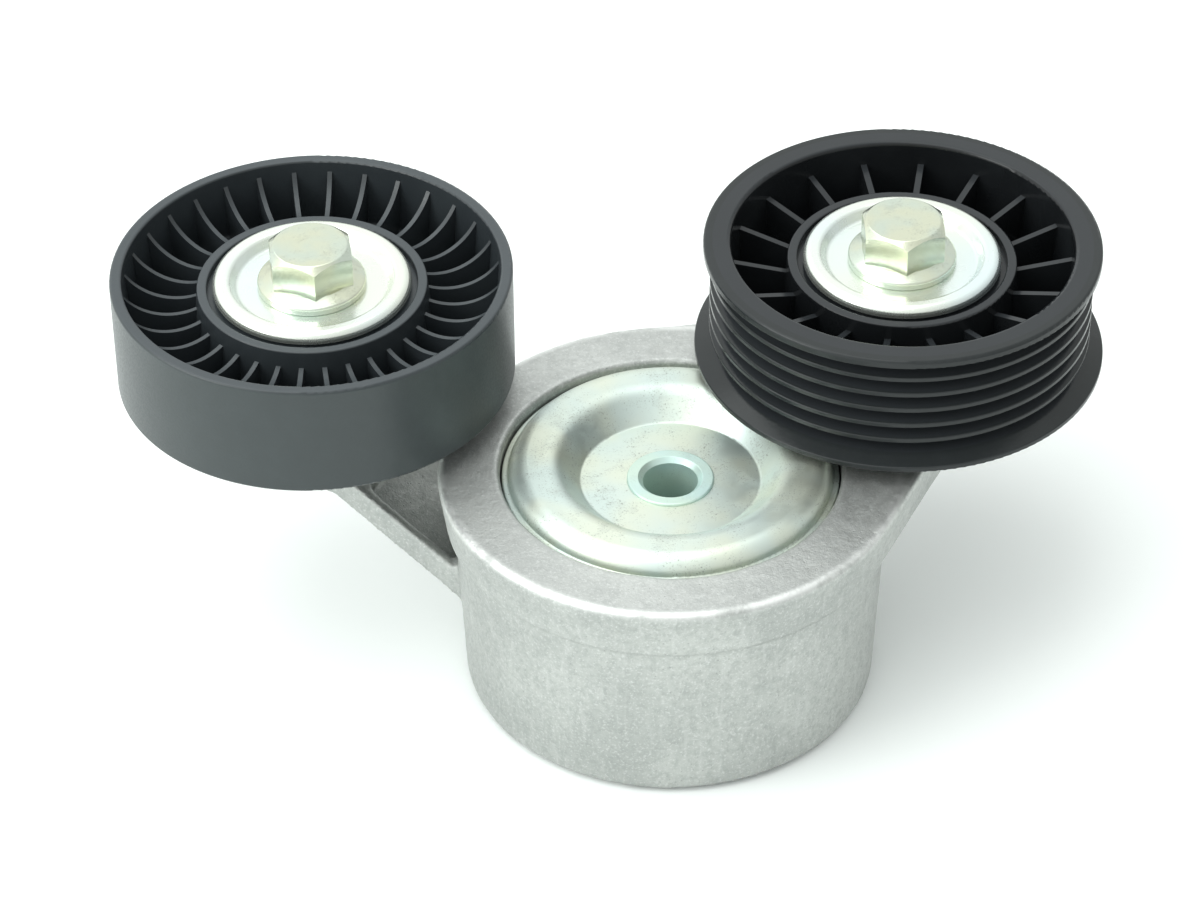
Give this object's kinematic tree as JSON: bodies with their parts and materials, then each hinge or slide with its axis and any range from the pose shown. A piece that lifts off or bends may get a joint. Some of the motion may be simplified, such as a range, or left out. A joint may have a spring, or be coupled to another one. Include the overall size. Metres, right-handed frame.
{
  "type": "belt tensioner idler",
  "caption": "Automatic belt tensioner: a sprung cup and ring casting with two arms, one smooth idler pulley and one grooved idler pulley on ball bearings.",
  "frame": {"origin": "centre of the mounting bolt's bore, in the flat mounting face of the base", "axes": "+Z along the pivot axis and the bolt bore, from the mounting face towards the cap; +X towards the grooved pulley's side, +Y away from the side with the cup in front"},
  "size_m": [0.189, 0.1154, 0.0803],
  "materials": {
    "cast_aluminium": "matt die-cast aluminium, grainy, with worn bright edges",
    "base_casting": "matt die-cast aluminium",
    "zinc_steel": "zinc-plated steel, satin",
    "cap_zinc": "pressed steel, bright zinc plate with a slight yellow-green tint",
    "shield_zinc": "pressed steel, bright clear zinc plate",
    "bolt_zinc": "forged steel, pale yellow zinc plate",
    "bearing_steel": "ground bearing steel",
    "ball_steel": "polished bearing steel",
    "spring_steel": "dark shot-peened spring steel",
    "smooth_pulley_plastic": "glass-filled nylon, slate black, turned track",
    "ribbed_pulley_plastic": "glass-filled nylon, black, soft sheen",
    "seal_rubber": "nitrile rubber",
    "bush_plastic": "filled nylon, dark",
    "damper_plastic": "filled nylon, black",
    "cage_plastic": "natural nylon"
  },
  "bodies": {
    "mount_base": {"base_plate": "base_casting", "pivot_tube": "zinc_steel", "front_cap": "cap_zinc", "upper_friction_washer": "bush_plastic", "lower_thrust_washer": "bush_plastic", "damping_ring": "damper_plastic", "torsion_spring": "spring_steel"},
    "tension_arm": {"arm_housing": "cast_aluminium", "pivot_bushing": "bush_plastic", "smooth_inner_race": "bearing_steel", "smooth_bearing_sleeve": "zinc_steel", "smooth_front_dust_shield": "shield_zinc", "smooth_rear_dust_shield": "shield_zinc", "smooth_flange_bolt": "bolt_zinc", "ribbed_inner_race": "bearing_steel", "ribbed_bearing_sleeve": "zinc_steel", "ribbed_front_dust_shield": "shield_zinc", "ribbed_rear_dust_shield": "shield_zinc", "ribbed_flange_bolt": "bolt_zinc"},
    "smooth_pulley_body": {"smooth_pulley": "smooth_pulley_plastic", "smooth_outer_race": "bearing_steel", "smooth_front_seal": "seal_rubber", "smooth_rear_seal": "seal_rubber"},
    "smooth_ball_set": {"smooth_bearing_balls": "ball_steel", "smooth_ball_cage": "cage_plastic"},
    "ribbed_pulley_body": {"ribbed_pulley": "ribbed_pulley_plastic", "ribbed_outer_race": "bearing_steel", "ribbed_front_seal": "seal_rubber", "ribbed_rear_seal": "seal_rubber"},
    "ribbed_ball_set": {"ribbed_bearing_balls": "ball_steel", "ribbed_ball_cage": "cage_plastic"}
  },
  "joints": [
    {"name": "arm_pivot", "type": "hinge", "parent": "mount_base", "child": "tension_arm", "pos_m": [0, 0, 0], "axis": [0, 0, 1], "range_deg": [0, 38], "stiffness_Nm_per_rad": 17, "springref_deg": -51.57, "deforming": ["torsion_spring"]},
    {"name": "smooth_pulley_spin", "type": "hinge", "parent": "tension_arm", "child": "smooth_pulley_body", "pos_m": [-0.06731, 0.02557, 0.063], "axis": [0, 0, 1], "continuous": true},
    {"name": "smooth_balls_roll", "type": "hinge", "parent": "tension_arm", "child": "smooth_ball_set", "pos_m": [-0.06731, 0.02557, 0.063], "axis": [0, 0, 1], "continuous": true},
    {"name": "ribbed_pulley_spin", "type": "hinge", "parent": "tension_arm", "child": "ribbed_pulley_body", "pos_m": [0.04442, 0.03227, 0.063], "axis": [0, 0, 1], "continuous": true},
    {"name": "ribbed_balls_roll", "type": "hinge", "parent": "tension_arm", "child": "ribbed_ball_set", "pos_m": [0.04442, 0.03227, 0.063], "axis": [0, 0, 1], "continuous": true}
  ],
  "couplings": [
    {"joint": "smooth_balls_roll", "follows": "smooth_pulley_spin", "ratio": 0.62},
    {"joint": "ribbed_balls_roll", "follows": "ribbed_pulley_spin", "ratio": 0.62}
  ]
}
